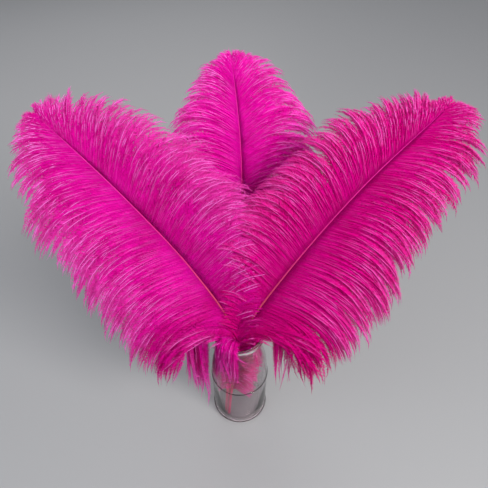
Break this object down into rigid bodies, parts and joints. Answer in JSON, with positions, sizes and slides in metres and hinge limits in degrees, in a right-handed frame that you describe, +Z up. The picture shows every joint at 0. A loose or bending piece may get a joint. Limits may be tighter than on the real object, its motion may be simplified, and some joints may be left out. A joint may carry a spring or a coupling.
{
  "type": "ostrich feather",
  "caption": "Dyed ostrich plumes with long soft drooping barbs, fanned out of a small clear glass bottle vase.",
  "frame": {"origin": "middle of the vase's flat foot, on the surface that it stands on", "axes": "+Z up along the vase, -Y towards the front that the plumes face, +X to a front viewer's right"},
  "size_m": [0.3449, 0.1538, 0.3984],
  "materials": {
    "clear_glass": "clear and glossy",
    "dyed_feather": "matt and downy, dyed hot pink"
  },
  "bodies": {
    "root": {"vase": "clear_glass", "feather_left": "dyed_feather", "feather_right": "dyed_feather", "feather_back": "dyed_feather"}
  },
  "joints": []
}
